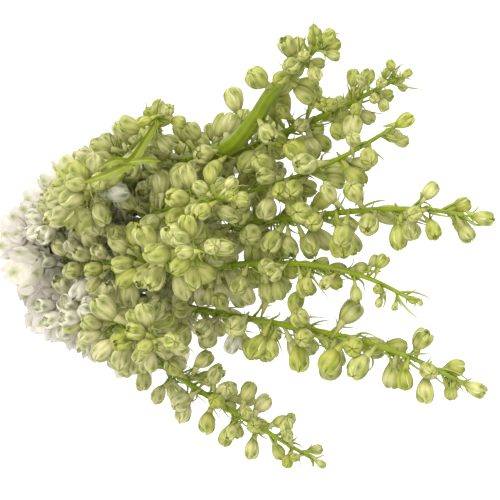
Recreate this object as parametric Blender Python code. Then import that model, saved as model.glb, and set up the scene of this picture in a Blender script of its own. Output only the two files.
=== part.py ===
"""Twelve cut delphinium spikes standing in a straight-sided vase of water.

Metres, +Z up. The origin is the centre of the vase's flat foot.
"""
import math
import random
from collections import namedtuple

import bmesh
import bpy
import numpy as np
from mathutils import Vector

MM = 0.001

# Vase
VASE_HEIGHT = 180 * MM
FOOT_RADIUS = 38 * MM
MOUTH_RADIUS = 41 * MM
WALL = 4 * MM
FLOOR_THICKNESS = 12 * MM
FOOT_CHAMFER = 1.5 * MM
VASE_SIDES = 36
SHARP_EDGE = math.radians(40)
WATER_LEVEL = 135 * MM
GAP = 0.3 * MM

# Stems
STEM_SIDES = 6
STEM_FOOT_RADIUS = 4 * MM
STEM_TIP_RADIUS = 1.1 * MM
HOLE_CLEARANCE = 0.4 * MM
BEND_HEIGHT = 138 * MM
MOUTH_HEIGHT = 186 * MM
MOUTH_SPREAD = 1.15
RINGS_ABOVE_MOUTH = 8

# Florets: the open flowers low on a spike, then buds that shrink towards its tip
GOLDEN_ANGLE = math.radians(137.5)
SITES = 21
TIP_CROWDING = 0.5
LARGEST_BUD = 20 * MM
BUD_DWINDLING = 2.2
BUD_SLIMNESS = 0.35
LONGEST_PEDICEL = 16 * MM
SHORTEST_PEDICEL = 4 * MM
PEDICEL_DWINDLING = 0.9
PEDICEL_RADIUS = 0.9 * MM
PEDICEL_NECK_RADIUS = 1.2 * MM
PEDICEL_OUTWARD = 0.8
PEDICEL_UPWARD = 0.6
PEDICEL_SIDES = 3
BUD_SIDES = 5
BUD_BELLY_HEIGHT = 0.5
BUD_SHOULDER_HEIGHT = 0.83
BUD_SHOULDER_WIDTH = 0.78
BUD_CLIMB = 0.7
ALMOST_STRAIGHT = 0.05
FLOWER_RADIUS = 20 * MM
FLOWER_STALK = 26 * MM
FLOWER_CUP = 0.5
FLOWER_TURN = 1.6
FLOWER_CLIMB = 0.45
SEPALS = 5
SEPAL_OUTLINE = ((0.4, -0.5), (0.86, -0.28), (1.0, 0.0), (0.86, 0.28))
SEPAL_THICKNESS = 1.0 * MM
SPUR_LENGTH = 13 * MM
SPUR_RADIUS = 1.9 * MM
SPUR_TIP_RADIUS = 0.6 * MM

# How much of its own a floret's size, stalk and direction may vary
SIZE_SPREAD = 0.1
BUD_STALK_SPREAD = 0.2
FLOWER_STALK_SPREAD = 0.15
AZIMUTH_SPREAD = 0.3

# What is tried in turn until a floret has room: shares of its stalk, and swings in degrees
STALK_SHARES = (1, 0.78, 1.25, 0.6, 0.45)
SWINGS = (0, 25, -25, 50, -50, 80, -80, 115, -115)

# Room kept between two spikes, and how far florets of one spike may press together
CLEARANCE = 0.6 * MM
PRESS = 0.82

# The balls that a bud and a sepal fill: how far out, and how wide, as shares
BUD_BALLS = ((0.22, 0.62), (0.5, 1.04), (0.74, 0.92), (0.92, 0.55))
SEPAL_BALLS = ((0.35, 0.2), (0.65, 0.27), (0.9, 0.2))

# The balls along a stalk, and the most of a stalk that may count as inside its stem
STALK_BALL_RADIUS = 1.4 * PEDICEL_RADIUS
STALK_BALL_SPACING = 3 * PEDICEL_RADIUS
MOST_HIDDEN_STALK = 0.8

# One spike: where its stem stands in the vase (ring radius in mm, angle in degrees), its course
# above the mouth in mm, its girth, how late it tapers, how far up it flowers, how many of its
# florets are open, the side its florets turn to, and the length of its last bud in mm
Spike = namedtuple("Spike", "ring angle course girth taper first opened turn tip")
SPIKES = {
    "spike_01": Spike(22, 186, ((-72, 22, 300), (-85, 41, 446), (-113, 46, 503), (-130, 49, 556)),
                      1.60, 7.0, 0.12, 3, (0, 0, 0), 7.5),
    "spike_02": Spike(24, 151, ((-50, 34, 262), (-74, 52, 350), (-89, 66, 440), (-101, 80, 515), (-113, 92, 568)),
                      1.00, 2.4, 0.14, 3, (0, 0, 0), 6),
    "spike_03": Spike(8, 140, ((-32, 32, 270), (-50, 46, 360), (-56, 58, 450), (-68, 72, 525), (-84, 87, 568)),
                      0.85, 1.5, 0.14, 2, (0.3, 0, 0), 10.5),
    "spike_04": Spike(24, 115, ((-20, 40, 262), (-30, 50, 360), (-36, 64, 470), (-40, 86, 572), (-35, 104, 611)),
                      0.90, 1.5, 0.14, 3, (0.7, 0, 0), 9.5),
    "spike_05": Spike(24, 78, ((0, 36, 262), (-2, 42, 370), (-8, 52, 460), (-6, 74, 535), (10, 94, 578)),
                      0.95, 1.6, 0.12, 3, (0.6, 0, 0), 4.5),
    "spike_06": Spike(24, 40, ((22, 32, 262), (27, 44, 360), (30, 60, 460), (38, 90, 550), (55, 118, 588)),
                      0.90, 1.6, 0.12, 3, (0.7, 0, 0), 10),
    "spike_07": Spike(24, 2, ((38, 6, 250), (64, 22, 330), (88, 44, 410), (117, 82, 486)),
                      0.90, 1.5, 0.10, 4, (0, 0, 0), 7.5),
    "spike_08": Spike(8, 250, ((-24, 6, 262), (-38, 12, 350), (-46, 10, 440), (-47, 6, 524)),
                      1.00, 1.6, 0.14, 2, (0, 0, 0), 8),
    "spike_09": Spike(24, 222, ((-50, -15, 257), (-76, -8, 340), (-92, -8, 410), (-101, -10, 463)),
                      0.85, 1.5, 0.12, 4, (0, 0, 0), 8),
    "spike_10": Spike(24, 256, ((-26, -32, 246), (-42, -34, 320), (-52, -38, 385), (-58, -44, 432)),
                      0.85, 1.5, 0.12, 4, (-0.3, -0.3, 0), 12),
    "spike_11": Spike(24, 290, ((-2, -34, 240), (-6, -18, 330), (-10, -4, 440), (-18, -8, 530)),
                      0.95, 1.5, 0.12, 4, (0, -0.4, 0), 9),
    "spike_12": Spike(24, 325, ((24, -26, 246), (34, -20, 320), (38, -16, 400), (38, -12, 470)),
                      0.85, 1.5, 0.12, 4, (0.2, -0.4, 0), 9),
}

# The one long leaf: the spike it grows from, its course and half widths in mm, and its side lobe
LEAF_SPIKE = "spike_09"
LEAF_COURSE = ((-101, -10, 458), (-92, -22, 466), (-82, -36, 468), (-70, -50, 464), (-58, -62, 456))
LEAF_HALF_WIDTHS = (0.9, 1.0, 4.5, 3.6, 0.4)
LOBE_COURSE = ((-86, -30, 468), (-78, -26, 470), (-68, -24, 468))
LOBE_HALF_WIDTHS = (2.0, 2.6, 0.4)
LEAF_THICKNESS = 0.9 * MM

Floret = namedtuple("Floret", "opened root neck axis size")


def spline(points, steps):
    """Points on one smooth curve through the given ones, evenly stepped by their number."""
    padded = [2 * points[0] - points[1], *points, 2 * points[-1] - points[-2]]
    found = []
    for step in range(steps + 1):
        place = step / steps * (len(points) - 1)
        leg = min(int(place), len(points) - 2)
        t = place - leg
        before, start, end, after = padded[leg:leg + 4]
        found.append(start + 0.5 * t * (end - before
                                        + t * (2 * before - 5 * start + 4 * end - after
                                               + t * (3 * (start - end) + after - before))))
    return found


def stem_line(spike):
    """The stem's ring centres, foot first, and its radius at each."""
    across = Vector((math.cos(math.radians(spike.angle)), math.sin(math.radians(spike.angle)), 0))
    stand = across * spike.ring * MM
    foot = stand + Vector((0, 0, FLOOR_THICKNESS + GAP))
    bend = stand + Vector((0, 0, BEND_HEIGHT))
    mouth = stand * MOUTH_SPREAD + Vector((0, 0, MOUTH_HEIGHT))
    course = [Vector(point) * MM for point in spike.course]
    centres = [foot, bend, *spline([mouth, *course], RINGS_ABOVE_MOUTH)]
    top = course[-1].z
    radii = []
    for centre in centres:
        rise = max(0, centre.z - BEND_HEIGHT) / (top - BEND_HEIGHT)
        foot_radius = STEM_FOOT_RADIUS * spike.girth
        radii.append(foot_radius + (STEM_TIP_RADIUS - foot_radius) * rise ** spike.taper)
    return centres, radii


def along(centres, distance):
    """The point and direction at a distance up a stem's line."""
    for start, end in zip(centres, centres[1:]):
        leg = (end - start).length
        if distance <= leg or end is centres[-1]:
            break
        distance -= leg
    direction = (end - start).normalized()
    return start + direction * min(distance, leg), direction


def spread(draw, share):
    """A factor round 1 from a draw between 0 and 1."""
    return 1 + share * (2 * draw - 1)


def turned(direction, azimuth):
    """The unit vector at an azimuth round a direction, counted from the +X side."""
    side = (Vector((1, 0, 0)) - direction * direction.x).normalized()
    return side * math.cos(azimuth) + direction.cross(side) * math.sin(azimuth)


class Room:
    """The balls that stand for what is already placed, each with the spike it belongs to."""

    def __init__(self):
        self.balls = np.zeros((0, 4))
        self.owners = np.zeros(0, int)

    def add(self, balls, owner):
        self.balls = np.vstack((self.balls, balls))
        self.owners = np.append(self.owners, [owner] * len(balls))

    def free(self, balls, owner):
        for x, y, z, radius in balls:
            if z - radius < VASE_HEIGHT + CLEARANCE and math.hypot(x, y) - radius < MOUTH_RADIUS + CLEARANCE:
                return False
            distance = np.linalg.norm(self.balls[:, :3] - (x, y, z), axis=1)
            others = self.owners != owner
            reach = self.balls[:, 3] + radius
            if (distance < np.where(others, reach + CLEARANCE, 0)).any():
                return False
            pressed = ~others & (np.minimum(self.balls[:, 3], radius) > 2 * PEDICEL_RADIUS)
            if (distance < np.where(pressed, PRESS * reach, 0)).any():
                return False
        return True


def balls_on(start, end, radius, spacing):
    """Balls of one radius along a line."""
    count = max(1, math.ceil((end - start).length / spacing))
    return [(*start.lerp(end, step / count), radius) for step in range(count + 1)]


def floret_balls(floret, line_radius):
    """The balls that a floret fills, from outside its stem to its tip."""
    stalk = floret.neck - floret.root
    outside = floret.root + stalk * min(MOST_HIDDEN_STALK, (line_radius + STALK_BALL_SPACING) / stalk.length)
    balls = balls_on(outside, floret.neck, STALK_BALL_RADIUS, STALK_BALL_SPACING)
    if not floret.opened:
        belly = floret.size * BUD_SLIMNESS
        balls += [(*(floret.neck + floret.axis * floret.size * reach), belly * share)
                  for reach, share in BUD_BALLS]
        return balls
    for sepal in range(SEPALS):
        out = turned(floret.axis, math.tau * sepal / SEPALS)
        for reach, share in SEPAL_BALLS:
            height = FLOWER_CUP * reach ** 2
            balls.append((*(floret.neck + (out * reach + floret.axis * height) * floret.size), floret.size * share))
    balls += balls_on(floret.neck, floret.neck - floret.axis * SPUR_LENGTH, SPUR_RADIUS, 2 * SPUR_RADIUS)
    return balls


def tries(azimuth, stalk):
    """The places tried for one floret, the nearest to its own first."""
    for share in STALK_SHARES:
        for swing in SWINGS:
            yield azimuth + math.radians(swing), stalk * share


def place_floret(spike, centres, rise, azimuth, draws, room, owner, opened):
    """One floret in its first free place, or None where it has no room."""
    heights = sum((b - a).length for a, b in zip(centres, centres[1:]))
    below = sum((b - a).length for a, b in zip(centres[:3], centres[1:3]))
    flowering = (heights - below) * (1 - spike.first)
    distance = heights - flowering * (1 - rise) * (TIP_CROWDING + (1 - TIP_CROWDING) * (1 - rise))
    root, direction = along(centres, distance)
    facing = Vector(spike.turn)
    if opened:
        size = FLOWER_RADIUS
        stalk = FLOWER_STALK * spread(draws[1], FLOWER_STALK_SPREAD)
        facing += FLOWER_TURN * Vector((root.x, root.y, 0)).normalized()
    else:
        size = LARGEST_BUD + (spike.tip * MM - LARGEST_BUD) * rise ** BUD_DWINDLING
        stalk = LONGEST_PEDICEL + (SHORTEST_PEDICEL - LONGEST_PEDICEL) * rise ** PEDICEL_DWINDLING
        stalk *= spread(draws[1], BUD_STALK_SPREAD)
    size *= spread(draws[0], SIZE_SPREAD)
    radius = STEM_TIP_RADIUS + (STEM_FOOT_RADIUS - STEM_TIP_RADIUS) * (1 - rise)
    climb = FLOWER_CLIMB if opened else BUD_CLIMB * draws[2]
    for tried, reach in tries(azimuth + AZIMUTH_SPREAD * (2 * draws[3] - 1), stalk):
        out = (turned(direction, tried) + facing).normalized()
        neck = root + out * (reach * PEDICEL_OUTWARD + radius) + direction * reach * PEDICEL_UPWARD
        axis = (out + direction * climb).normalized()
        if rise == 1:
            neck = root + direction * SHORTEST_PEDICEL
            root -= direction * STEM_TIP_RADIUS
            axis = direction
        floret = Floret(opened, root, neck, axis, size)
        balls = floret_balls(floret, radius)
        if room.free(balls, owner):
            room.add(balls, owner)
            return floret
    return None


def lay_out():
    """The stem line, the radii and the florets of every spike."""
    room = Room()
    lines = [stem_line(spike) for spike in SPIKES.values()]
    for owner, (centres, radii) in enumerate(lines):
        for start, end, radius in zip(centres, centres[1:], radii):
            room.add(balls_on(start, end, radius, radius), owner)
    florets = [[] for _ in SPIKES]
    randoms = [random.Random(owner) for owner in range(len(SPIKES))]
    for site in range(SITES):
        rise = site / (SITES - 1)
        for owner, spike in enumerate(SPIKES.values()):
            draws = [randoms[owner].random() for _ in range(4)]
            floret = place_floret(spike, lines[owner][0], rise, GOLDEN_ANGLE * site, draws, room, owner,
                                  site < spike.opened)
            if floret:
                florets[owner].append(floret)
    return lines, florets


def ring(bm, centre, direction, radius, sides, start=0.0):
    """A ring of vertices square to a direction."""
    return [bm.verts.new(centre + turned(direction, start + math.tau * side / sides) * radius)
            for side in range(sides)]


def bridge(bm, lower, upper):
    """Triangles between two rings, which may differ in number."""
    a = b = 0
    while a < len(lower) or b < len(upper):
        low = lower[a % len(lower)]
        high = upper[b % len(upper)]
        if b == len(upper) or (a < len(lower) and (a + 1) * len(upper) <= (b + 1) * len(lower)):
            a += 1
            bm.faces.new((low, lower[a % len(lower)], high))
        else:
            b += 1
            bm.faces.new((low, upper[b % len(upper)], high))


def cap(bm, loop, downwards):
    """A flat cap, triangulated."""
    corners = loop[::-1] if downwards else loop
    for first, second in zip(corners[1:], corners[2:]):
        bm.faces.new((corners[0], first, second))


def mesh_object(name, bm, collection):
    """A named object made from a bmesh."""
    mesh = bpy.data.meshes.new(name)
    bm.to_mesh(mesh)
    bm.free()
    thing = bpy.data.objects.new(name, mesh)
    collection.objects.link(thing)
    return thing


def material(name, colour, roughness):
    """A plain Principled material."""
    made = bpy.data.materials.new(name)
    made.use_nodes = True
    shader = made.node_tree.nodes["Principled BSDF"]
    shader.inputs["Base Color"].default_value = (*colour, 1)
    shader.inputs["Roughness"].default_value = roughness
    shader.inputs["Metallic"].default_value = 0
    return made


def turned_solid(name, profile, sides):
    """A solid of revolution about Z: the profile starts and ends on the axis, underside first."""
    bm = bmesh.new()
    rings = []
    for radius, height in profile[1:-1]:
        rings.append(ring(bm, Vector((0, 0, height)), Vector((0, 0, 1)), radius, sides))
    foot = bm.verts.new((0, 0, profile[0][1]))
    top = bm.verts.new((0, 0, profile[-1][1]))
    for lower, upper in zip(rings, rings[1:]):
        for side in range(sides):
            after = (side + 1) % sides
            bm.faces.new((lower[side], lower[after], upper[after], upper[side]))
    for side in range(sides):
        after = (side + 1) % sides
        bm.faces.new((foot, rings[0][after], rings[0][side]))
        bm.faces.new((top, rings[-1][side], rings[-1][after]))
    return mesh_object(name, bm, bpy.context.scene.collection)


def inner_radius(height):
    """The vase's inside radius at a height."""
    return FOOT_RADIUS + (MOUTH_RADIUS - FOOT_RADIUS) * height / VASE_HEIGHT - WALL


def build_vase():
    """The vase: flat foot, straight sides, rounded rim."""
    rim = WALL / 2
    middle = MOUTH_RADIUS - rim
    profile = [(0, 0), (FOOT_RADIUS - FOOT_CHAMFER, 0), (FOOT_RADIUS, FOOT_CHAMFER)]
    for turn in range(0, 181, 45):
        angle = math.radians(turn)
        profile.append((middle + rim * math.cos(angle), VASE_HEIGHT - rim + rim * math.sin(angle)))
    floor_edge = inner_radius(FLOOR_THICKNESS)
    profile += [(floor_edge, FLOOR_THICKNESS + WALL), (floor_edge - WALL, FLOOR_THICKNESS), (0, FLOOR_THICKNESS)]
    return turned_solid("vase", profile, VASE_SIDES)


def build_water(lines):
    """The water, with a plain hole round each stem."""
    low = FLOOR_THICKNESS + GAP
    edge = inner_radius(FLOOR_THICKNESS) - GAP
    profile = [(0, low), (edge - WALL, low), (edge, low + WALL),
               (inner_radius(WATER_LEVEL) - GAP, WATER_LEVEL), (0, WATER_LEVEL)]
    water = turned_solid("water", profile, VASE_SIDES)
    cutters = bpy.data.collections.new("holes")
    bpy.context.scene.collection.children.link(cutters)
    for centres, radii in lines:
        bm = bmesh.new()
        foot = centres[0].copy()
        up = Vector((0, 0, 1))
        radius = radii[0] + HOLE_CLEARANCE
        foot.z = 0
        lower = ring(bm, foot, up, radius, STEM_SIDES)
        foot.z = VASE_HEIGHT
        upper = ring(bm, foot, up, radius, STEM_SIDES)
        bridge(bm, lower, upper)
        cap(bm, lower, True)
        cap(bm, upper, False)
        mesh_object("hole", bm, cutters)
    join(water, cutters, "DIFFERENCE")
    return water


def join(thing, collection, operation):
    """Apply one Boolean with a whole collection, then remove the collection."""
    boolean = thing.modifiers.new("join", "BOOLEAN")
    boolean.operation = operation
    boolean.operand_type = "COLLECTION"
    boolean.collection = collection
    boolean.solver = "EXACT"
    graph = bpy.context.evaluated_depsgraph_get()
    joined = bpy.data.meshes.new_from_object(thing.evaluated_get(graph))
    thing.modifiers.clear()
    thing.data = joined
    for other in list(collection.objects):
        bpy.data.objects.remove(other)
    bpy.data.collections.remove(collection)


def build_stem(name, centres, radii):
    """A stem: a tapering tube that stands upright in the water and bends at the mouth."""
    bm = bmesh.new()
    rings = []
    for index, (centre, radius) in enumerate(zip(centres, radii)):
        direction = Vector((0, 0, 1))
        if index > 1:
            direction = (centres[min(index + 1, len(centres) - 1)] - centres[index - 1]).normalized()
        rings.append(ring(bm, centre, direction, radius, STEM_SIDES))
    for lower, upper in zip(rings, rings[1:]):
        bridge(bm, lower, upper)
    cap(bm, rings[0], True)
    cap(bm, rings[-1], False)
    return mesh_object(name, bm, bpy.context.scene.collection)


def cone(bm, start, end, radius, end_radius, sides):
    """A closed tapering rod."""
    direction = (end - start).normalized()
    lower = ring(bm, start, direction, radius, sides)
    upper = ring(bm, end, direction, end_radius, sides)
    bridge(bm, lower, upper)
    cap(bm, lower, True)
    cap(bm, upper, False)


def azimuth_of(direction, towards):
    """The azimuth of a vector round a direction."""
    side = turned(direction, 0)
    return math.atan2(towards.dot(direction.cross(side)), towards.dot(side))


def build_bud(floret, collection):
    """A bud on its stalk: a plump drop with a blunt tip, its rings lined up so that nothing twists."""
    bm = bmesh.new()
    belly = floret.size * BUD_SLIMNESS
    stalk = (floret.neck - floret.root).normalized()
    towards = stalk.cross(floret.axis)
    if towards.length < ALMOST_STRAIGHT:
        towards = turned(stalk, 0)
    rings = []
    for centre, direction, radius, sides in (
            (floret.root, stalk, PEDICEL_RADIUS, PEDICEL_SIDES),
            (floret.neck, (stalk + floret.axis).normalized(), PEDICEL_NECK_RADIUS, PEDICEL_SIDES),
            (floret.neck + floret.axis * BUD_BELLY_HEIGHT * floret.size, floret.axis, belly, BUD_SIDES),
            (floret.neck + floret.axis * BUD_SHOULDER_HEIGHT * floret.size, floret.axis,
             BUD_SHOULDER_WIDTH * belly, BUD_SIDES)):
        rings.append(ring(bm, centre, direction, radius, sides, azimuth_of(direction, towards)))
    for lower, upper in zip(rings, rings[1:]):
        bridge(bm, lower, upper)
    cap(bm, rings[0], True)
    tip = bm.verts.new(floret.neck + floret.axis * floret.size)
    blunt = rings[-1]
    for side in range(BUD_SIDES):
        bm.faces.new((blunt[side], blunt[(side + 1) % BUD_SIDES], tip))
    mesh_object("bud", bm, collection)


def build_flower(floret, collection):
    """An open flower: five sepals in one thin cupped blade, its spur and its stalk."""
    bm = bmesh.new()
    faces = []
    for side in (0.0, SEPAL_THICKNESS):
        centre = bm.verts.new(floret.neck + floret.axis * side)
        edge = []
        for sepal in range(SEPALS):
            for reach, swing in SEPAL_OUTLINE:
                out = turned(floret.axis, math.tau * (sepal + swing) / SEPALS)
                height = FLOWER_CUP * reach ** 2 * floret.size + side
                edge.append(bm.verts.new(floret.neck + out * reach * floret.size + floret.axis * height))
        faces.append((centre, edge))
    (back_centre, back), (front_centre, front) = faces
    for index in range(len(back)):
        after = (index + 1) % len(back)
        bm.faces.new((back_centre, back[after], back[index]))
        bm.faces.new((front_centre, front[index], front[after]))
        bm.faces.new((back[index], back[after], front[index]))
        bm.faces.new((back[after], front[after], front[index]))
    mesh_object("flower", bm, collection)
    seat = floret.neck + floret.axis * 0.5 * SEPAL_THICKNESS
    bm = bmesh.new()
    cone(bm, floret.root, seat, PEDICEL_RADIUS, PEDICEL_NECK_RADIUS, PEDICEL_SIDES)
    mesh_object("stalk", bm, collection)
    bm = bmesh.new()
    cone(bm, floret.neck - floret.axis * SPUR_LENGTH, seat, SPUR_TIP_RADIUS, SPUR_RADIUS, PEDICEL_SIDES)
    mesh_object("spur", bm, collection)


def build_leaf(course, half_widths, collection):
    """A thin leaf blade along its course, closed at both ends."""
    bm = bmesh.new()
    rings = []
    centres = [Vector(point) * MM for point in course]
    for index, half_width in enumerate(half_widths):
        after = centres[min(index + 1, len(centres) - 1)]
        before = centres[max(index - 1, 0)]
        across = (after - before).cross(Vector((0, 0, 1))).normalized() * half_width * MM
        lift = Vector((0, 0, LEAF_THICKNESS / 2))
        centre = centres[index]
        rings.append([bm.verts.new(corner) for corner in
                      (centre + across - lift, centre + across + lift,
                       centre - across + lift, centre - across - lift)])
    for lower, upper in zip(rings, rings[1:]):
        bridge(bm, lower, upper)
    cap(bm, rings[0], True)
    cap(bm, rings[-1], False)
    mesh_object("leaf", bm, collection)


def build_spike(name, line, florets, finish):
    """One spike: its stem with its buds and open flowers, fused in one solid."""
    stem = build_stem(name, *line)
    parts = bpy.data.collections.new(name + "_florets")
    bpy.context.scene.collection.children.link(parts)
    for floret in florets:
        if floret.opened:
            build_flower(floret, parts)
        else:
            build_bud(floret, parts)
    if name == LEAF_SPIKE:
        build_leaf(LEAF_COURSE, LEAF_HALF_WIDTHS, parts)
        build_leaf(LOBE_COURSE, LOBE_HALF_WIDTHS, parts)
    join(stem, parts, "UNION")
    stem.data.materials.clear()
    stem.data.materials.append(finish)


def main():
    for thing in list(bpy.data.objects):
        bpy.data.objects.remove(thing)
    glaze = material("glaze", (0.30, 0.42, 0.37), 0.2)
    clear = material("water", (0.72, 0.80, 0.80), 0.05)
    flesh = material("flower", (0.60, 0.63, 0.30), 0.55)
    lines, florets = lay_out()
    vase = build_vase()
    vase.data.materials.append(glaze)
    vase.data.shade_smooth()
    vase.data.set_sharp_from_angle(angle=SHARP_EDGE)
    build_water(lines).data.materials.append(clear)
    for name, line, found in zip(SPIKES, lines, florets):
        build_spike(name, line, found, flesh)
        print(name, "florets", len(found), "triangles", len(bpy.data.objects[name].data.polygons))


main()
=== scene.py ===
"""The looks of twelve delphinium spikes in a glazed vase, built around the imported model.

Metres, +Z up. The spikes are laid out by the same seeded rule as the solid model, then get more
buds, thin sepals, spurs, bracts and ribbed stems.
"""

import math
import random
from collections import namedtuple

import bpy
import numpy as np
from mathutils import Matrix, Vector


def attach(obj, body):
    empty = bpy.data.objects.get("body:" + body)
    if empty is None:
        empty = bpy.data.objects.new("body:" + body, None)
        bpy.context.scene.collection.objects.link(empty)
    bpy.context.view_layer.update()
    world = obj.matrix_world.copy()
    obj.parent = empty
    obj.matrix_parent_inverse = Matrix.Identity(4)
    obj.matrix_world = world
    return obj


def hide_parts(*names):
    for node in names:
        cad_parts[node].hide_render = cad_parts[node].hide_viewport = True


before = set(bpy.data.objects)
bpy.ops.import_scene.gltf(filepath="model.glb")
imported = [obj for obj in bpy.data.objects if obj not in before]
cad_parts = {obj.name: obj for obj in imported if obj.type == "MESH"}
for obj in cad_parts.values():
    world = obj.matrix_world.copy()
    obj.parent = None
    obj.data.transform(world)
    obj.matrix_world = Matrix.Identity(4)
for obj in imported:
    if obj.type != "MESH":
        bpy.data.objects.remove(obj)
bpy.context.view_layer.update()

MM = 0.001

# Vase
VASE_HEIGHT = 180 * MM
FOOT_RADIUS = 38 * MM
MOUTH_RADIUS = 41 * MM
WALL = 4 * MM
FLOOR_THICKNESS = 12 * MM
FOOT_CHAMFER = 1.5 * MM
GAP = 0.3 * MM

# Stems
STEM_FOOT_RADIUS = 4 * MM
STEM_TIP_RADIUS = 1.1 * MM
BEND_HEIGHT = 138 * MM
MOUTH_HEIGHT = 186 * MM
MOUTH_SPREAD = 1.15
RINGS_ABOVE_MOUTH = 8

# Florets: the open flowers low on a spike, then buds that shrink towards its tip
GOLDEN_ANGLE = math.radians(137.5)
SITES = 21
TIP_CROWDING = 0.5
LARGEST_BUD = 20 * MM
BUD_DWINDLING = 2.2
BUD_SLIMNESS = 0.35
LONGEST_PEDICEL = 16 * MM
SHORTEST_PEDICEL = 4 * MM
PEDICEL_DWINDLING = 0.9
PEDICEL_RADIUS = 0.9 * MM
PEDICEL_OUTWARD = 0.8
PEDICEL_UPWARD = 0.6
BUD_CLIMB = 0.7
FLOWER_RADIUS = 20 * MM
FLOWER_STALK = 26 * MM
FLOWER_CUP = 0.5
FLOWER_TURN = 1.6
FLOWER_CLIMB = 0.45
SEPALS = 5
SPUR_LENGTH = 13 * MM
SPUR_RADIUS = 1.9 * MM

# How much of its own a floret's size, stalk and direction may vary
SIZE_SPREAD = 0.1
BUD_STALK_SPREAD = 0.2
FLOWER_STALK_SPREAD = 0.15
AZIMUTH_SPREAD = 0.3

# What is tried in turn until a floret has room: shares of its stalk, and swings in degrees
STALK_SHARES = (1, 0.78, 1.25, 0.6, 0.45)
SWINGS = (0, 25, -25, 50, -50, 80, -80, 115, -115)

# Room kept between two spikes, and how far florets of one spike may press together
CLEARANCE = 0.6 * MM
PRESS = 0.82

# Extra florets between those of the solid model. Where a spike is sparse, between two heights,
# only one in so many of them stays.
EXTRA_SITES = 54
EXTRA_SIZE = 0.92
EXTRA_BELOW = 0.12
EXTRA_OPEN = 98 * MM
EXTRA_TURN = 0.3
EXTRA_PRESS = 0.66
EXTRA_CLEARANCE = -0.6 * MM
OPEN_PRESS = 0.5
OPEN_CLEARANCE = -4 * MM
EXTRA_SEED = 100
EXTRA_PHASE = 2.0
SPARSE = {
    "spike_01": (0.50, 0.80, 6),
    "spike_03": (0.72, 1, 4),
    "spike_04": (0.66, 1, 2),
    "spike_05": (0.72, 1, 3),
    "spike_06": (0.66, 1, 2),
    "spike_07": (0.75, 1, 3),
    "spike_08": (0.5, 1, 2),
    "spike_09": (0.4, 1, 3),
    "spike_10": (0.4, 1, 3),
    "spike_11": (0.4, 1, 3),
    "spike_12": (0.4, 1, 3),
}

# Extra open flowers stay this near to the axis, and some spikes have no extra florets on their front
# between two heights, so that their stems show
EXTRA_SPREAD = 60 * MM
WHITE_HEART = Vector((25 * MM, 0, VASE_HEIGHT))
FRONT_BARE = {
    "spike_05": (0.15, 0.6),
    "spike_08": (0.25, 0.6),
}

# The balls that a bud and a sepal fill: how far out, and how wide, as shares
BUD_BALLS = ((0.22, 0.62), (0.5, 1.04), (0.74, 0.92), (0.92, 0.55))
SEPAL_BALLS = ((0.35, 0.2), (0.65, 0.27), (0.9, 0.2))

# The balls along a stalk, and the most of a stalk that may count as inside its stem
STALK_BALL_RADIUS = 1.4 * PEDICEL_RADIUS
STALK_BALL_SPACING = 3 * PEDICEL_RADIUS
MOST_HIDDEN_STALK = 0.8

# One spike: where its stem stands in the vase (ring radius in mm, angle in degrees), its course
# above the mouth in mm, its girth, how late it tapers, how far up it flowers, how many of its
# florets are open, the side its florets turn to, and the length of its last bud in mm
Spike = namedtuple("Spike", "ring angle course girth taper first opened turn tip")
SPIKES = {
    "spike_01": Spike(22, 186, ((-72, 22, 300), (-85, 41, 446), (-113, 46, 503), (-130, 49, 556)),
                      1.60, 7.0, 0.12, 3, (0, 0, 0), 7.5),
    "spike_02": Spike(24, 151, ((-50, 34, 262), (-74, 52, 350), (-89, 66, 440), (-101, 80, 515), (-113, 92, 568)),
                      1.00, 2.4, 0.14, 3, (0, 0, 0), 6),
    "spike_03": Spike(8, 140, ((-32, 32, 270), (-50, 46, 360), (-56, 58, 450), (-68, 72, 525), (-84, 87, 568)),
                      0.85, 1.5, 0.14, 2, (0.3, 0, 0), 10.5),
    "spike_04": Spike(24, 115, ((-20, 40, 262), (-30, 50, 360), (-36, 64, 470), (-40, 86, 572), (-35, 104, 611)),
                      0.90, 1.5, 0.14, 3, (0.7, 0, 0), 9.5),
    "spike_05": Spike(24, 78, ((0, 36, 262), (-2, 42, 370), (-8, 52, 460), (-6, 74, 535), (10, 94, 578)),
                      0.95, 1.6, 0.12, 3, (0.6, 0, 0), 4.5),
    "spike_06": Spike(24, 40, ((22, 32, 262), (27, 44, 360), (30, 60, 460), (38, 90, 550), (55, 118, 588)),
                      0.90, 1.6, 0.12, 3, (0.7, 0, 0), 10),
    "spike_07": Spike(24, 2, ((38, 6, 250), (64, 22, 330), (88, 44, 410), (117, 82, 486)),
                      0.90, 1.5, 0.10, 4, (0, 0, 0), 7.5),
    "spike_08": Spike(8, 250, ((-24, 6, 262), (-38, 12, 350), (-46, 10, 440), (-47, 6, 524)),
                      1.00, 1.6, 0.14, 2, (0, 0, 0), 8),
    "spike_09": Spike(24, 222, ((-50, -15, 257), (-76, -8, 340), (-92, -8, 410), (-101, -10, 463)),
                      0.85, 1.5, 0.12, 4, (0, 0, 0), 8),
    "spike_10": Spike(24, 256, ((-26, -32, 246), (-42, -34, 320), (-52, -38, 385), (-58, -44, 432)),
                      0.85, 1.5, 0.12, 4, (-0.3, -0.3, 0), 12),
    "spike_11": Spike(24, 290, ((-2, -34, 240), (-6, -18, 330), (-10, -4, 440), (-18, -8, 530)),
                      0.95, 1.5, 0.12, 4, (0, -0.4, 0), 9),
    "spike_12": Spike(24, 325, ((24, -26, 246), (34, -20, 320), (38, -16, 400), (38, -12, 470)),
                      0.85, 1.5, 0.12, 4, (0.2, -0.4, 0), 9),
}

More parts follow.
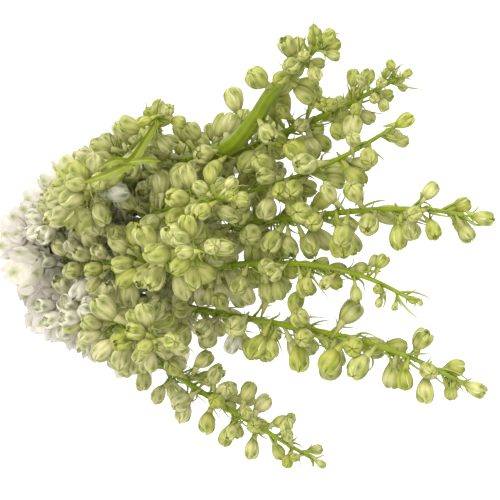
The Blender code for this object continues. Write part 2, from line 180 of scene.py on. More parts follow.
# The one long leaf: the spike it grows from, its course and half widths in mm, and its side lobe
LEAF_SPIKE = "spike_09"
LEAF_COURSE = ((-101, -10, 458), (-92, -22, 466), (-82, -36, 468), (-70, -50, 464), (-58, -62, 456))
LEAF_HALF_WIDTHS = (0.9, 1.0, 4.5, 3.6, 0.4)
LOBE_COURSE = ((-86, -30, 468), (-78, -26, 470), (-68, -24, 468))
LOBE_HALF_WIDTHS = (2.0, 2.6, 0.4)

Floret = namedtuple("Floret", "opened rise root direction neck axis size")


def spline(points, steps):
    """Points on one smooth curve through the given ones, evenly stepped by their number."""
    padded = [2 * points[0] - points[1], *points, 2 * points[-1] - points[-2]]
    found = []
    for step in range(steps + 1):
        place = step / steps * (len(points) - 1)
        leg = min(int(place), len(points) - 2)
        t = place - leg
        before, start, end, after = padded[leg:leg + 4]
        found.append(start + 0.5 * t * (end - before
                                        + t * (2 * before - 5 * start + 4 * end - after
                                               + t * (3 * (start - end) + after - before))))
    return found


def stem_line(spike):
    """The stem's ring centres, foot first, and its radius at each."""
    across = Vector((math.cos(math.radians(spike.angle)), math.sin(math.radians(spike.angle)), 0))
    stand = across * spike.ring * MM
    foot = stand + Vector((0, 0, FLOOR_THICKNESS + GAP))
    bend = stand + Vector((0, 0, BEND_HEIGHT))
    mouth = stand * MOUTH_SPREAD + Vector((0, 0, MOUTH_HEIGHT))
    course = [Vector(point) * MM for point in spike.course]
    centres = [foot, bend, *spline([mouth, *course], RINGS_ABOVE_MOUTH)]
    top = course[-1].z
    radii = []
    for centre in centres:
        rise = max(0, centre.z - BEND_HEIGHT) / (top - BEND_HEIGHT)
        foot_radius = STEM_FOOT_RADIUS * spike.girth
        radii.append(foot_radius + (STEM_TIP_RADIUS - foot_radius) * rise ** spike.taper)
    return centres, radii


def along(centres, distance):
    """The point and direction at a distance up a stem's line."""
    for start, end in zip(centres, centres[1:]):
        leg = (end - start).length
        if distance <= leg or end is centres[-1]:
            break
        distance -= leg
    direction = (end - start).normalized()
    return start + direction * min(distance, leg), direction


def spread(draw, share):
    """A factor round 1 from a draw between 0 and 1."""
    return 1 + share * (2 * draw - 1)


def turned(direction, azimuth):
    """The unit vector at an azimuth round a direction, counted from the +X side."""
    side = (Vector((1, 0, 0)) - direction * direction.x).normalized()
    return side * math.cos(azimuth) + direction.cross(side) * math.sin(azimuth)


class Room:
    """The balls that stand for what is already placed, each with the spike it belongs to."""

    def __init__(self):
        self.balls = np.zeros((0, 4))
        self.owners = np.zeros(0, int)

    def add(self, balls, owner):
        self.balls = np.vstack((self.balls, balls))
        self.owners = np.append(self.owners, [owner] * len(balls))

    def free(self, balls, owner, clearance, press):
        balls = np.array(balls)
        radius = balls[:, 3]
        low = balls[:, 2] - radius < VASE_HEIGHT + CLEARANCE
        if (low & (np.hypot(balls[:, 0], balls[:, 1]) - radius < MOUTH_RADIUS + CLEARANCE)).any():
            return False
        distance = np.linalg.norm(self.balls[:, None, :3] - balls[None, :, :3], axis=2)
        others = (self.owners != owner)[:, None]
        reach = self.balls[:, 3:] + radius
        if (distance < np.where(others, reach + clearance, 0)).any():
            return False
        pressed = ~others & (np.minimum(self.balls[:, 3:], radius) > 2 * PEDICEL_RADIUS)
        return not (distance < np.where(pressed, press * reach, 0)).any()


def balls_on(start, end, radius, spacing):
    """Balls of one radius along a line."""
    count = max(1, math.ceil((end - start).length / spacing))
    return [(*start.lerp(end, step / count), radius) for step in range(count + 1)]


def floret_balls(floret, line_radius):
    """The balls that a floret fills, from outside its stem to its tip."""
    stalk = floret.neck - floret.root
    outside = floret.root + stalk * min(MOST_HIDDEN_STALK, (line_radius + STALK_BALL_SPACING) / stalk.length)
    balls = balls_on(outside, floret.neck, STALK_BALL_RADIUS, STALK_BALL_SPACING)
    if not floret.opened:
        belly = floret.size * BUD_SLIMNESS
        balls += [(*(floret.neck + floret.axis * floret.size * reach), belly * share)
                  for reach, share in BUD_BALLS]
        return balls
    for sepal in range(SEPALS):
        out = turned(floret.axis, math.tau * sepal / SEPALS)
        for reach, share in SEPAL_BALLS:
            height = FLOWER_CUP * reach ** 2
            balls.append((*(floret.neck + (out * reach + floret.axis * height) * floret.size), floret.size * share))
    balls += balls_on(floret.neck, floret.neck - floret.axis * SPUR_LENGTH, SPUR_RADIUS, 2 * SPUR_RADIUS)
    return balls


def tries(azimuth, stalk):
    """The places tried for one floret, the nearest to its own first."""
    for share in STALK_SHARES:
        for swing in SWINGS:
            yield azimuth + math.radians(swing), stalk * share


def place_floret(spike, centres, rise, azimuth, draws, room, owner, opened, extra, front_bare):
    """One floret in its first free place, or None where it has no room."""
    root, direction = seat(spike, centres, rise)
    facing = Vector(spike.turn)
    if opened:
        size = FLOWER_RADIUS
        stalk = FLOWER_STALK * spread(draws[1], FLOWER_STALK_SPREAD)
        facing += (EXTRA_TURN if extra else FLOWER_TURN) * Vector((root.x, root.y, 0)).normalized()
    else:
        size = LARGEST_BUD + (spike.tip * MM - LARGEST_BUD) * max(0, rise) ** BUD_DWINDLING
        stalk = LONGEST_PEDICEL + (SHORTEST_PEDICEL - LONGEST_PEDICEL) * max(0, rise) ** PEDICEL_DWINDLING
        stalk *= spread(draws[1], BUD_STALK_SPREAD)
    size *= spread(draws[0], SIZE_SPREAD)
    clearance, press = CLEARANCE, PRESS
    if extra:
        size *= EXTRA_SIZE
        clearance, press = (OPEN_CLEARANCE, OPEN_PRESS) if opened else (EXTRA_CLEARANCE, EXTRA_PRESS)
    radius = STEM_TIP_RADIUS + (STEM_FOOT_RADIUS - STEM_TIP_RADIUS) * (1 - rise)
    climb = FLOWER_CLIMB if opened else BUD_CLIMB * draws[2]
    for tried, reach in tries(azimuth + AZIMUTH_SPREAD * (2 * draws[3] - 1), stalk):
        out = (turned(direction, tried) + facing).normalized()
        neck = root + out * (reach * PEDICEL_OUTWARD + radius) + direction * reach * PEDICEL_UPWARD
        axis = (out + direction * climb).normalized()
        if extra and (opened and math.hypot(neck.x - WHITE_HEART.x, neck.y) > EXTRA_SPREAD or front_bare and out.y < 0):
            continue
        if rise == 1:
            neck = root + direction * SHORTEST_PEDICEL
            root -= direction * STEM_TIP_RADIUS
            axis = direction
        floret = Floret(opened, rise, root, direction, neck, axis, size)
        balls = floret_balls(floret, radius)
        if room.free(balls, owner, clearance, press):
            room.add(balls, owner)
            return floret
    return None


def seat(spike, centres, rise):
    """Where on its stem a floret stands, and the stem's direction there."""
    heights = sum((b - a).length for a, b in zip(centres, centres[1:]))
    below = sum((b - a).length for a, b in zip(centres[:3], centres[1:3]))
    flowering = (heights - below) * (1 - spike.first)
    distance = heights - flowering * (1 - rise) * (TIP_CROWDING + (1 - TIP_CROWDING) * (1 - rise))
    return along(centres, distance)


def bare(name, rise, site):
    """Whether a spike has no extra floret at a place: where the real one is sparse."""
    low, high, kept = SPARSE.get(name, (1, 1, 1))
    return low < rise < high and site % kept > 0


def lay_out():
    """The florets of every spike: those of the solid model, then extra ones between them."""
    room = Room()
    lines = [stem_line(spike) for spike in SPIKES.values()]
    for owner, (centres, radii) in enumerate(lines):
        for start, end, radius in zip(centres, centres[1:], radii):
            room.add(balls_on(start, end, radius, radius), owner)
    florets = [[] for _ in SPIKES]
    for extra, sites in ((False, SITES), (True, EXTRA_SITES)):
        randoms = [random.Random(owner + EXTRA_SEED * extra) for owner in range(len(SPIKES))]
        for site in range(sites):
            for owner, (name, spike) in enumerate(SPIKES.items()):
                draws = [randoms[owner].random() for _ in range(4)]
                rise = site / (sites - 1)
                opened = site < spike.opened
                azimuth = GOLDEN_ANGLE * site
                if extra:
                    rise = (1 + EXTRA_BELOW) * (site + 0.5) / sites - EXTRA_BELOW
                    foot = seat(spike, lines[owner][0], rise)[0]
                    opened = (foot - WHITE_HEART).length < EXTRA_OPEN
                    azimuth += EXTRA_PHASE
                    if bare(name, rise, site):
                        continue
                low, high = FRONT_BARE.get(name, (1, 1))
                floret = place_floret(spike, lines[owner][0], rise, azimuth, draws, room, owner, opened, extra,
                                      low < rise < high)
                if floret:
                    florets[owner].append(floret)
    return florets


# Buds in detail: height and width along a closed and a gaping bud, as shares
BUD_PROFILE = ((0.0, 0.22, 0.22), (0.1, 0.38, 0.36), (0.22, 0.63, 0.58), (0.38, 0.88, 0.8),
               (0.55, 1.0, 0.95), (0.7, 1.0, 1.02), (0.82, 0.93, 1.05), (0.91, 0.78, 1.07), (0.97, 0.52, 1.04),
               (1.0, 0.1, 0.98))
BUD_COLUMNS = 9
SEPAL_OVERLAP = 1.55
SEPAL_LAYERS = (1.06, 0.97, 1.05, 0.94, 1.0)
SPOT_HEIGHT = 0.82

# How much larger than the solid ones the buds of a spike's upper part are drawn
GROWTH = {
    "spike_01": 0.3,
    "spike_02": 0.15,
    "spike_03": 0.15,
    "spike_04": 0.2,
    "spike_06": 0.22,
    "spike_07": 0.12,
    "spike_08": 0.25,
    "spike_09": 0.3,
    "spike_10": 0.4,
    "spike_11": 0.35,
    "spike_12": 0.45,
}
USUAL_GROWTH = 0.04

# How far from the vase's mouth florets are white, and cream, in metres
WHITE_REACH = (0.075, 0.165)
CREAM_REACH = (0.10, 0.32)
FLOWER_REACH = (0.09, 0.14)
TIP_CREAM = 0.3

# Colours as seen in daylight, 0 to 255
BUD_GREEN = (206, 208, 98)
BUD_CREAM = (242, 234, 184)
# Darker green at a bud's base, partly painted shade deep among the buds; stalks and spurs turn to it too
BUD_BASE_AND_SHADE = (122, 136, 28)
# Olive green of the sepals' midlines and edges, also used as painted shade on their sides and under overlapping rims
BUD_EDGE_AND_SHADE = (136, 148, 36)
BUD_RIM = (246, 242, 206)
SPOT = (98, 116, 12)
WHITE_SEPAL = (224, 218, 209)
FLOWER_CREAM = (222, 220, 158)
# Cream-white of the white buds, painted brighter than WHITE_SEPAL to make up for the shade these buds lie in
LIT_MARKED_SEPAL = (244, 238, 224)
WHITE_EYE = (214, 212, 168)
WHITE_SPOT = (138, 156, 26)
STEM_FRESH = (120, 136, 18)
STEM_DEEP = (98, 114, 56)
THREAD = (146, 156, 66)
THREAD_TIP = (124, 112, 62)
LEAF_GREEN = (114, 124, 26)
LEAF_RIB = (160, 168, 70)
GLAZE = (132, 158, 150)
GLAZE_PALE = (172, 192, 180)
GLAZE_THIN = (176, 160, 128)
CLAY = (168, 142, 114)


def srgb(colour):
    """A linear colour from one given as 0 to 255."""
    share = np.array(colour, float) / 255
    return np.where(share <= 0.04045, share / 12.92, ((share + 0.055) / 1.055) ** 2.4)


def mixed(first, second, amount):
    """Between two colours, where the amount may be an array."""
    amount = np.asarray(amount, float)[..., None]
    return np.asarray(first) * (1 - amount) + np.asarray(second) * amount


def eased(value, low, high):
    """0 below low, 1 above high, smooth between."""
    share = np.clip((value - low) / (high - low), 0, 1)
    return share * share * (3 - 2 * share)


def sides_of(axis):
    """Two unit vectors square to an axis, the first nearest to +X, as arrays."""
    first = np.array(turned(axis, 0.0))
    return first, np.array(turned(axis, math.pi / 2))


class Shape:
    """Sheets and tubes gathered for one mesh, with a tint at every vertex."""

    def __init__(self):
        self.points = []
        self.tints = []
        self.quads = []
        self.fans = []
        self.quad_slots = []
        self.fan_slots = []
        self.size = 0

    def sheet(self, points, tints, slot, closed=False):
        """A grid of quads, whose point numbers it returns; a closed one joins its last column to its first."""
        rows, columns = points.shape[:2]
        ids = self.size + np.arange(rows * columns).reshape(rows, columns)
        if closed:
            ids = np.concatenate((ids, ids[:, :1]), axis=1)
        faces = np.stack((ids[:-1, :-1], ids[:-1, 1:], ids[1:, 1:], ids[1:, :-1]), axis=-1).reshape(-1, 4)
        self.points.append(points.reshape(-1, 3))
        self.tints.append(np.broadcast_to(tints, (rows, columns, 3)).reshape(-1, 3))
        self.quads.append(faces)
        self.quad_slots.append(np.full(len(faces), slot))
        self.size += rows * columns
        return ids

    def cap(self, point, ring, tint, slot):
        """A fan from one point to a ring of point numbers."""
        ahead = np.roll(ring, -1)
        self.points.append(np.array([point]))
        self.tints.append(np.array([tint]))
        self.fans.append(np.stack((ring, ahead, np.full(len(ring), self.size)), axis=-1))
        self.fan_slots.append(np.full(len(ring), slot))
        self.size += 1

    def tube(self, line, radii, sides, tints, slot, ribs=0, depth=0.0):
        """A tube round a line of points, drawn to a point at both ends; its ribs wander a little."""
        line = np.asarray(line)
        radii = np.asarray(radii, float)
        steps = np.gradient(line, axis=0)
        steps /= np.linalg.norm(steps, axis=1)[:, None]
        reference = np.array((1.0, 0, 0)) if abs(steps[:, 0]).mean() < 0.8 else np.array((0, 1.0, 0))
        first = reference - steps * (steps @ reference)[:, None]
        first /= np.linalg.norm(first, axis=1)[:, None]
        second = np.cross(steps, first)
        turn = np.linspace(0, math.tau, sides, endpoint=False)
        sway = 0.6 * np.sin(np.linspace(0, 9, len(line)))[:, None]
        wave = 1 + depth * np.cos(turn * ribs + sway)
        around = (first[:, None] * np.cos(turn)[None, :, None] + second[:, None] * np.sin(turn)[None, :, None])
        points = line[:, None] + around * (radii[:, None] * wave)[..., None]
        tints = np.asarray(tints)
        # On ribbed tubes the tint follows the ribs: painted shade in the grooves and painted light on the ridges
        if ribs:
            tints = tints[:, None] * (wave ** 2)[..., None]
        if tints.ndim == 2:
            tints = tints[:, None]
        tints = np.broadcast_to(tints, points.shape)
        ids = self.sheet(points, tints, slot, closed=True)[:, :-1]
        self.cap(line[0], ids[0][::-1], tints[0, 0], slot)
        self.cap(line[-1], ids[-1], tints[-1, 0], slot)

    def finished(self, name, materials):
        """The object, shaded smooth and riding on the root body."""
        mesh = bpy.data.meshes.new(name)
        points = np.concatenate(self.points)
        faces = np.concatenate(self.quads).tolist() + np.concatenate(self.fans).tolist()
        mesh.from_pydata(points.tolist(), [], faces)
        slots = np.concatenate(self.quad_slots + self.fan_slots)
        mesh.polygons.foreach_set("material_index", slots.astype(np.int32))
        tint = mesh.color_attributes.new("tint", "FLOAT_COLOR", "POINT")
        colours = np.concatenate((np.concatenate(self.tints), np.ones((len(points), 1))), axis=1)
        tint.data.foreach_set("color", colours.astype(np.float32).ravel())
        for material in materials:
            mesh.materials.append(material)
        mesh.shade_smooth()
        thing = bpy.data.objects.new(name, mesh)
        bpy.context.scene.collection.objects.link(thing)
        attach(thing, "root")
        return thing


# The leaf in detail: the course and half widths of each blade, in mm
LEAF_BLADES = (
    (((-98, -12, 459), (-82, -24, 468), (-70, -33, 470), (-62, -47, 468), (-57, -61, 458)), (2.1, 2.4, 3.3, 2.8, 0.2)),
    (((-70, -33, 470), (-71, -25, 474), (-71, -15, 474)), (2.0, 2.2, 0.3)),
    (((-70, -33, 470), (-70, -44, 472), (-64, -54, 467)), (1.6, 2.4, 0.2)),
)

GREEN, PETAL = 0, 1
STEM_STEPS = 56


def curve(start, first, second, end, steps):
    """Points of a Bezier curve."""
    t = np.linspace(0, 1, steps)[:, None]
    start, first, second, end = (np.array(point) for point in (start, first, second, end))
    return (1 - t) ** 3 * start + 3 * (1 - t) ** 2 * t * first + 3 * (1 - t) * t * t * second + t ** 3 * end


def add_thread(shape, start, direction, length, width, curl, tint):
    """A fine bract: a tapering thread that curls."""
    direction = direction.normalized()
    end = start + direction * length * 0.75 + curl * length * 0.5
    line = curve(start, start + direction * length * 0.35, start + direction * length * 0.65, end, 7)
    radii = width / 2 * np.array((0.85, 1, 0.97, 0.87, 0.7, 0.45, 0.14))
    tips = eased(np.linspace(0, 1, 7), 0.6, 1) * 0.6
    shape.tube(line, radii, 4, mixed(tint, srgb(THREAD_TIP), tips), GREEN)


def add_bracts(shape, floret, line, rng):
    """The bract under a floret's stalk and the two smaller ones on it."""
    share = 0.5 + 0.5 * min(1, floret.size / LARGEST_BUD)
    out = (floret.neck - floret.root).normalized()
    tint = mixed(srgb(THREAD), srgb(STEM_FRESH), rng.random() * 0.6)
    sideways = out.cross(floret.direction).normalized() * rng.choice((-1, 1))
    start = floret.root + out * STEM_TIP_RADIUS
    way = floret.direction * rng.uniform(0.2, 1.2) + out * 0.8 + sideways * rng.uniform(0.4, 1)
    curl = (floret.direction * rng.uniform(0, 1.4) + Vector([rng.uniform(-0.7, 0.7) for _ in range(3)])).normalized()
    add_thread(shape, start, way, (15 + 11 * rng.random()) * MM * share, 1.6 * MM, curl, tint)
    for side in (-1, 1):
        seat = Vector(line[int(len(line) * rng.uniform(0.5, 0.8))])
        curl = (sideways * side + Vector([rng.uniform(-0.5, 0.5) for _ in range(3)])).normalized()
        way = out + sideways * side * rng.uniform(0.7, 1.2) + floret.direction * rng.uniform(0, 0.6)
        add_thread(shape, seat, way, (6 + 6 * rng.random()) * MM * share, 1.1 * MM, curl, tint)


def add_stalk(shape, floret, direction, girth):
    """The curved stalk of a floret; returns its line."""
    reach = (floret.neck - floret.root).length
    first = floret.root + (direction * 0.55 + (floret.neck - floret.root).normalized() * 0.45) * reach * 0.45
    second = floret.neck - floret.axis * reach * 0.3
    line = curve(floret.root, first, second, floret.neck + floret.axis * 0.06 * floret.size, 7)
    radii = girth * np.array((1.25, 1.05, 0.88, 0.85, 0.9, 1.1, 1.5))
    # The stalk turns to the bud-base colour towards the bud, partly painted shade
    tints = mixed(srgb(STEM_FRESH), srgb(BUD_BASE_AND_SHADE), np.linspace(0, 1, 7))
    shape.tube(line, radii, 6, tints, GREEN)
    return line


def add_spur(shape, floret, belly, tint, lift):
    """The hollow spur behind a bud or flower, which bends back over its stalk."""
    length = min(SPUR_LENGTH, floret.size * 0.5)
    start = floret.neck + floret.axis * floret.size * 0.22
    line = curve(start, floret.neck - floret.axis * length * 0.1 + lift * belly * 0.45,
                 floret.neck - floret.axis * length * 0.6 + lift * belly * 0.7,
                 floret.neck - floret.axis * length + lift * belly * 0.9, 7)
    radii = belly * np.array((0.46, 0.43, 0.36, 0.27, 0.2, 0.15, 0.1))
    # The spur turns to the bud-base colour along its length, partly painted shade
    shape.tube(line, radii, 7, mixed(tint, srgb(BUD_BASE_AND_SHADE), np.linspace(0.1, 0.8, 7)), PETAL)


def lift_of(floret, rng):
    """The side a spur bends to: away from the stem's foot, more or less."""
    wanted = floret.direction + Vector([rng.uniform(-0.7, 0.7) for _ in range(3)])
    flat = wanted - floret.axis * wanted.dot(floret.axis)
    return flat.normalized()


def faded(reach, limits, jitter):
    """1 near the vase's mouth, 0 beyond the farther limit."""
    return 1 - eased(reach + jitter * (limits[1] - limits[0]), *limits)


# Camera: it looks down on the bunch, rolled so that up in the world is right in the picture
ELEVATION = math.radians(65)
FOCAL_PIXELS = 832
PICTURE = 500
SENSOR = 36
MOUTH_PIXEL = (74, 268)
MOUTH_DEPTH = 0.78
FORWARD = Vector((0, math.cos(ELEVATION), -math.sin(ELEVATION)))
RIGHT = Vector((0, math.sin(ELEVATION), math.cos(ELEVATION)))
DOWN = Vector((1, 0, 0))
MOUTH = Vector((0, 0, VASE_HEIGHT))
EYE = (MOUTH - MOUTH_DEPTH * FORWARD
       - (MOUTH_PIXEL[0] - PICTURE / 2) * MOUTH_DEPTH / FOCAL_PIXELS * RIGHT
       - (MOUTH_PIXEL[1] - PICTURE / 2) * MOUTH_DEPTH / FOCAL_PIXELS * DOWN)

# The outline of the bunch's lower end as the camera sees it: places from the picture's left, and the
# highest and lowest of the bunch there
OUTLINE_PLACES = (3, 20, 40, 48, 75, 100, 130, 160, 200)
OUTLINE_TOP = (248, 215, 190, 180, 150, 141, 122, 106, 96)
OUTLINE_BOTTOM = (254, 272, 296, 335, 346, 356, 376, 402, 500)
PULLS = (1, 0.85, 0.7, 0.55, 0.4)
OPEN_MARGIN = 0.5
WHITE_MARKS = ((118, 193, 8), (237, 344, 12), (84, 300, 19), (58, 318, 16), (38, 236, 21))
RUFFLED_MARKS = ((74, 214, 11),)
BUD_MARGIN = 0.3


def seen(point):
    """Where the camera sees a point, in pixels from the picture's top left, and pixels a metre there."""
    away = point - EYE
    scale = FOCAL_PIXELS / away.dot(FORWARD)
    return PICTURE / 2 + away.dot(RIGHT) * scale, PICTURE / 2 + away.dot(DOWN) * scale, scale


def marked(floret, marks):
    """Whether the camera sees a floret at one of some places."""
    place, height, _ = seen(floret.neck + floret.axis * floret.size * 0.5)
    return any(math.hypot(place - x, height - y) < reach for x, y, reach in marks)


def within(point, margin):
    """Whether a point, with a margin round it, lies within the outline of the bunch's lower end."""
    place, height, scale = seen(point)
    top = np.interp(place, OUTLINE_PLACES, OUTLINE_TOP)
    bottom = np.interp(place, OUTLINE_PLACES, OUTLINE_BOTTOM)
    return place > OUTLINE_PLACES[-1] or top + margin * scale < height < bottom - margin * scale


def add_bud(shape, floret, rng):
    """A bud: five overlapping sepals round a drop, two of them outermost, with a green spot near each tip."""
    reach = (floret.root - WHITE_HEART).length
    cream = TIP_CREAM + (1 - TIP_CREAM) * faded(reach, CREAM_REACH, rng.uniform(-0.3, 0.3))
    cream = np.clip(cream + rng.uniform(-0.3, 0.3), 0, 1)
    white = faded(reach, WHITE_REACH, rng.uniform(-0.3, 0.3))
    gape = 0.8 * np.clip(rng.uniform(-1.5, 0.35) + 0.35 * cream + 0.9 * white, 0, 1)
    belly = floret.size * BUD_SLIMNESS * rng.uniform(0.78, 0.98)
    body = mixed(srgb(BUD_GREEN), srgb(BUD_CREAM), cream)
    body = mixed(body, srgb(WHITE_SEPAL), white) * rng.uniform(0.9, 1.06)
    # Buds at the white marks turn cream-white, painted brighter than the flowers' white to make up for their shade
    if marked(floret, WHITE_MARKS):
        white = 0.9
        body = srgb(LIT_MARKED_SEPAL)
    first, second = sides_of(floret.axis)
    neck, axis = np.array(floret.neck), np.array(floret.axis)
    profile = np.array(BUD_PROFILE)
    height = profile[:, :1]
    width = profile[:, 1:2] * (1 - gape) + profile[:, 2:] * gape
    s = np.linspace(-1, 1, BUD_COLUMNS)[None, :]
    phase = rng.uniform(0, math.tau)
    spotted = rng.uniform(0.7, 1)
    lean = rng.uniform(-0.5, 0.5)
    add_spur(shape, floret, belly, body, lift_of(floret, rng))
    if gape > 0.05:
        turn = np.linspace(0, math.tau, 8, endpoint=False)
        inner = belly * 0.8 * profile[:, 1:2] * (1 + 0.08 * np.cos(3 * turn + phase))
        points = (neck + (np.cos(turn)[:, None] * first + np.sin(turn)[:, None] * second) * inner[..., None]
                  + axis * (height * floret.size * 0.86)[..., None])
        heart = mixed(body, srgb(BUD_EDGE_AND_SHADE), 0.6 * eased(height, 0.6, 1) + 0 * turn)
        shape.sheet(points, heart, PETAL, closed=True)
    for sepal, layer in enumerate(SEPAL_LAYERS):
        tip = height ** 4
        flare = gape * rng.uniform(0, 0.3) * tip
        narrow = 1 - 0.3 * eased(height, 0.7, 1)
        half = math.pi / SEPALS * SEPAL_OVERLAP * rng.uniform(0.9, 1.1)
        angle = phase + math.tau * sepal / SEPALS + half * s * narrow + lean * height * height
        radius = belly * (width * (layer + 0.07 * (1 - s * s) + 0.03 * s) + flare)
        lobe = height - 0.13 * s * s * tip + 0.06 * rng.uniform(-1, 0.6) * tip
        points = (neck + (np.cos(angle)[..., None] * first + np.sin(angle)[..., None] * second) * radius[..., None]
                  + axis * (lobe * floret.size)[..., None])
        # Sepals darken towards the bud's base: painted shade in the gaps deep among the buds, partly the darker green
        # of a bud's base
        tints = mixed(srgb(BUD_BASE_AND_SHADE), body, eased(height, -0.1, 0.48) + 0 * s)
        tints = mixed(tints, srgb(BUD_EDGE_AND_SHADE), 0.4 * spotted * np.exp(-(s / 0.16) ** 2) * eased(height, 0.25, 0.7))
        inner = layer < 1
        # Inner sepals are painted darker where the outer sepals' rims lie over them, outer ones darker towards their
        # sides: painted shade, partly their darker green sides
        edge_shade = 0.8 * eased(abs(s), 0.05, 0.6) if inner else 0.5 * eased(abs(s), 0.3, 0.8)
        tints = mixed(tints, srgb(BUD_EDGE_AND_SHADE), (1 - 0.7 * white) * edge_shade + 0 * height)
        tints = mixed(tints, srgb(BUD_RIM), 0.8 * eased(abs(s), 0.8, 1) * eased(height, 0.3, 0.7))
        spot = spotted * np.exp(-((height - SPOT_HEIGHT) / 0.15) ** 2 - (s / 0.42) ** 2)
        tints = mixed(tints, srgb(SPOT), spot)
        shape.sheet(points, tints, PETAL)


def add_flower(shape, floret, rng, ruffled):
    """An open flower: five broad ruffled white sepals, a small pale eye and the spur; some are more curled."""
    white = faded((floret.root - WHITE_HEART).length, FLOWER_REACH, 0)
    size = floret.size * (0.74 + 0.5 * white)
    body = mixed(srgb(FLOWER_CREAM), srgb(WHITE_SEPAL), white)
    first, second = sides_of(floret.axis)
    neck, axis = np.array(floret.neck), np.array(floret.axis)
    reach = (1 - (1 - np.linspace(0.02, 1, 11)) ** 1.6)[:, None]
    s = np.linspace(-1, 1, 9)[None, :]
    cup = FLOWER_CUP * (rng.uniform(0.6, 2.2) + 1.2 * (1 - white))
    curl = 3 if ruffled else 1
    add_spur(shape, floret, size * 0.17, body, lift_of(floret, rng))
    for sepal in range(SEPALS):
        middle = math.tau * (sepal + rng.uniform(-0.08, 0.08)) / SEPALS
        length = size * rng.uniform(0.86, 1.0)
        claw = np.sin(np.pi / 2 * np.clip(reach / 0.58, 0, 1)) ** 0.8
        dome = np.sqrt(np.clip(1 - ((reach - 0.58) / 0.425) ** 2, 0, 1))
        half = rng.uniform(0.46, 0.56) * np.where(reach < 0.58, claw, dome)
        ruffle = rng.uniform(0, math.tau)
        out = np.cos(middle) * first + np.sin(middle) * second
        across = -np.sin(middle) * first + np.cos(middle) * second
        lift = (cup * reach ** 2 + 0.16 * s * s * reach - 0.18 * cup * reach ** 5
                + curl * rng.uniform(0.03, 0.08) * np.sin(s * 4 + ruffle) * reach ** 2
                + curl * 0.05 * np.sin(s * 9 + 2 * ruffle) * reach ** 3 + 0.04 * (sepal % 2))
        drawn = 1 - 0.22 * cup * reach
        points = (neck + out * (reach * drawn * length)[..., None] + across * (half * s * length)[..., None]
                  + axis * (lift * length)[..., None])
        tints = mixed(srgb(WHITE_EYE), body * rng.uniform(0.93, 1.02), eased(reach, 0, 0.35) + 0 * s)
        tints = mixed(tints, srgb(WHITE_SPOT), 0.95 * np.exp(-((reach - 0.84) / 0.12) ** 2 - (s / 0.32) ** 2))
        tints = mixed(tints, srgb(WHITE_EYE), 0.35 * np.exp(-(s / 0.12) ** 2) * (reach < 0.8))
        if ruffled:
            tints = mixed(tints, srgb(BUD_EDGE_AND_SHADE), 0.8 * eased(abs(s), 0.4, 0.9) + 0 * reach)
        shape.sheet(points, tints, PETAL)
    for petal in range(4):
        middle = math.tau * (petal + 0.5) / 4
        out = np.cos(middle) * first + np.sin(middle) * second
        across = -np.sin(middle) * first + np.cos(middle) * second
        t = np.linspace(0, 1, 6)[:, None]
        w = np.linspace(-1, 1, 4)[None, :]
        breadth = 0.15 * np.sin(math.pi * (0.15 + 0.75 * t))
        points = (neck + out * ((0.05 + 0.2 * t + 0.05 * w * w) * size)[..., None]
                  + across * (breadth * w * size)[..., None]
                  + axis * ((0.04 + 0.36 * t ** 0.8 - 0.1 * w * w) * size)[..., None])
        shape.sheet(points, mixed(srgb(WHITE_SPOT), body, eased(t, 0.0, 0.6) + 0 * w), PETAL)


def add_stem(shape, spike):
    """The ribbed stem from the foot in the water to the tip."""
    centres, radii = stem_line(spike)
    upper = spline(centres[2:], STEM_STEPS)
    heights = np.linspace(0, len(centres) - 3, STEM_STEPS + 1)
    upper_radii = np.interp(heights, range(len(centres) - 2), radii[2:])
    line = [np.array(centres[0]), np.array(centres[1]), *[np.array(point) for point in upper]]
    girths = np.array([radii[0], radii[1], *upper_radii])
    share = eased(np.array([point[2] for point in line]), 0.22, 0.42)
    tints = mixed(srgb(STEM_DEEP), srgb(STEM_FRESH), share)
    shape.tube(line, girths, 28, tints, GREEN, ribs=7, depth=0.07)


def add_blade(shape, course, half_widths):
    """A leaf blade: a smooth lanceolate sheet folded up a little along its midrib."""
    centres = spline([Vector(point) * MM for point in course], 24)
    line = np.array([list(point) for point in centres])
    places = np.linspace(0, len(half_widths) - 1, 25)
    half = np.interp(places, range(len(half_widths)), half_widths)[:, None] * MM
    steps = np.gradient(line, axis=0)
    across = np.cross(steps, (0, 0, 1.0))
    across /= np.linalg.norm(across, axis=1)[:, None]
    s = np.linspace(-1, 1, 7)[None, :]
    lift = 0.6 * half * np.abs(s) + 0.2 * half * np.sin(places[:, None] * 7) * s
    points = line[:, None] + across[:, None] * (half * s)[..., None] + np.array((0, 0, 1.0)) * lift[..., None]
    tints = mixed(srgb(LEAF_GREEN), srgb(LEAF_RIB), 0.5 * np.exp(-(s / 0.15) ** 2) + 0 * half)
    shape.sheet(points, tints, GREEN)


def noise(tree, scale, detail):
    """A noise texture on the object's own coordinates."""
    place = tree.nodes.new("ShaderNodeTexCoord")
    made = tree.nodes.new("ShaderNodeTexNoise")
    made.inputs["Scale"].default_value = scale
    made.inputs["Detail"].default_value = detail
    tree.links.new(place.outputs["Object"], made.inputs["Vector"])
    return made


def tinted(tree, shader, scale, low, high):
    """Feeds a shader's colour from the mesh's tint, mottled by noise."""
    tint = tree.nodes.new("ShaderNodeAttribute")
    tint.attribute_name = "tint"
    mottle = noise(tree, scale, 4)
    spread = tree.nodes.new("ShaderNodeMapRange")
    spread.inputs["From Min"].default_value = 0.3
    spread.inputs["From Max"].default_value = 0.7
    spread.inputs["To Min"].default_value = low
    spread.inputs["To Max"].default_value = high
    product = tree.nodes.new("ShaderNodeVectorMath")
    product.operation = "SCALE"
    tree.links.new(mottle.outputs["Fac"], spread.inputs["Value"])
    tree.links.new(tint.outputs["Color"], product.inputs[0])
    tree.links.new(spread.outputs["Result"], product.inputs["Scale"])
    tree.links.new(product.outputs["Vector"], shader.inputs["Base Color"])
    return product


